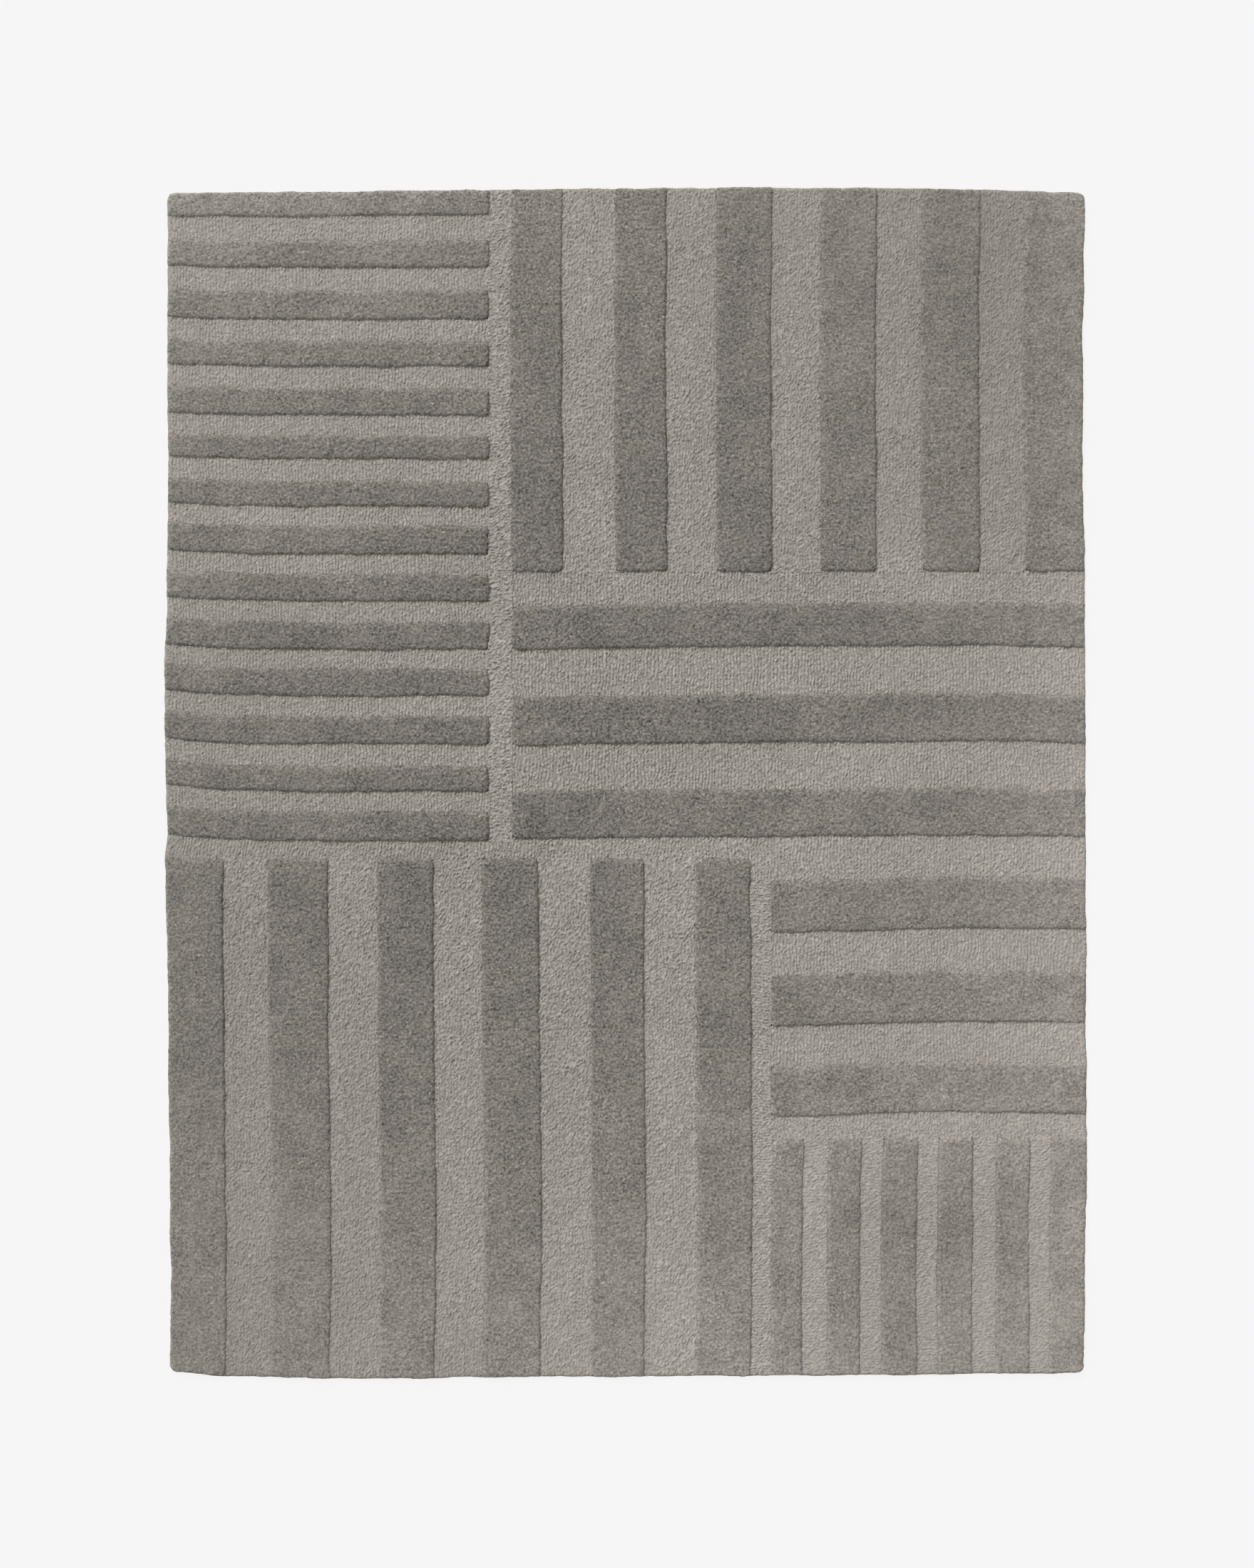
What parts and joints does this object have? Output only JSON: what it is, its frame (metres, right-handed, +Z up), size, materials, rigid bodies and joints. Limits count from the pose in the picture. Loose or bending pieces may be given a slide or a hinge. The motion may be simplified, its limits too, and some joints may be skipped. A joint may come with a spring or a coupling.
{
  "type": "area rug",
  "caption": "Rectangular high-low tufted area rug: panels of raised cut-pile bars set in a lower loop-pile ground, on glued backing layers with a sewn hem tape.",
  "frame": {"origin": "centre of the rug's underside, on the floor", "axes": "+X across the rug's width, +Y along its length towards the panel of narrow cross bars and the wide upright bars, +Z up out of the pile"},
  "size_m": [1.7, 2.2, 0.018],
  "materials": {
    "cut_pile_wool": "matte sheared wool cut pile, warm mid grey with soft lighter and darker patches",
    "loop_pile_wool": "matte wool loop pile, warm light grey, in fine rows",
    "primary_cloth": "plain-woven cotton backing cloth",
    "latex": "dull off-white latex coat",
    "backing_canvas": "coarse natural cotton canvas",
    "hem_tape_cotton": "twill-woven cotton hem tape",
    "sewing_thread": "twisted cotton thread"
  },
  "bodies": {
    "root": {"cut_pile_bottom_right_01": "cut_pile_wool", "cut_pile_bottom_right_02": "cut_pile_wool", "cut_pile_bottom_right_03": "cut_pile_wool", "cut_pile_bottom_right_04": "cut_pile_wool", "cut_pile_bottom_right_05": "cut_pile_wool", "cut_pile_bottom_right_06": "cut_pile_wool", "cut_pile_lower_left_01": "cut_pile_wool", "cut_pile_lower_left_02": "cut_pile_wool", "cut_pile_lower_left_03": "cut_pile_wool", "cut_pile_lower_left_04": "cut_pile_wool", "cut_pile_lower_left_05": "cut_pile_wool", "cut_pile_lower_left_06": "cut_pile_wool", "cut_pile_lower_right_01": "cut_pile_wool", "cut_pile_lower_right_02": "cut_pile_wool", "cut_pile_lower_right_03": "cut_pile_wool", "cut_pile_middle_right_01": "cut_pile_wool", "cut_pile_middle_right_02": "cut_pile_wool", "cut_pile_middle_right_03": "cut_pile_wool", "cut_pile_upper_left_01": "cut_pile_wool", "cut_pile_upper_left_02": "cut_pile_wool", "cut_pile_upper_left_03": "cut_pile_wool", "cut_pile_upper_left_04": "cut_pile_wool", "cut_pile_upper_left_05": "cut_pile_wool", "cut_pile_upper_left_06": "cut_pile_wool", "cut_pile_upper_left_07": "cut_pile_wool", "cut_pile_upper_left_08": "cut_pile_wool", "cut_pile_upper_left_09": "cut_pile_wool", "cut_pile_upper_left_10": "cut_pile_wool", "cut_pile_upper_left_11": "cut_pile_wool", "cut_pile_upper_left_12": "cut_pile_wool", "cut_pile_upper_left_13": "cut_pile_wool", "cut_pile_upper_left_14": "cut_pile_wool", "cut_pile_upper_right_01": "cut_pile_wool", "cut_pile_upper_right_02": "cut_pile_wool", "cut_pile_upper_right_03": "cut_pile_wool", "cut_pile_upper_right_04": "cut_pile_wool", "cut_pile_upper_right_05": "cut_pile_wool", "cut_pile_upper_right_06": "cut_pile_wool", "hem_stitches": "sewing_thread", "hem_tape_bottom": "hem_tape_cotton", "hem_tape_left": "hem_tape_cotton", "hem_tape_right": "hem_tape_cotton", "hem_tape_top": "hem_tape_cotton", "latex_coat": "latex", "loop_border_lower_centre": "loop_pile_wool", "loop_border_lower_right": "loop_pile_wool", "loop_border_middle_left": "loop_pile_wool", "loop_border_middle_right": "loop_pile_wool", "loop_border_upper_centre": "loop_pile_wool", "loop_border_upper_right": "loop_pile_wool", "loop_pile_bottom_right": "loop_pile_wool", "loop_pile_lower_left": "loop_pile_wool", "loop_pile_lower_right": "loop_pile_wool", "loop_pile_middle_right": "loop_pile_wool", "loop_pile_upper_left": "loop_pile_wool", "loop_pile_upper_right": "loop_pile_wool", "primary_backing": "primary_cloth", "secondary_backing": "backing_canvas"}
  },
  "joints": []
}
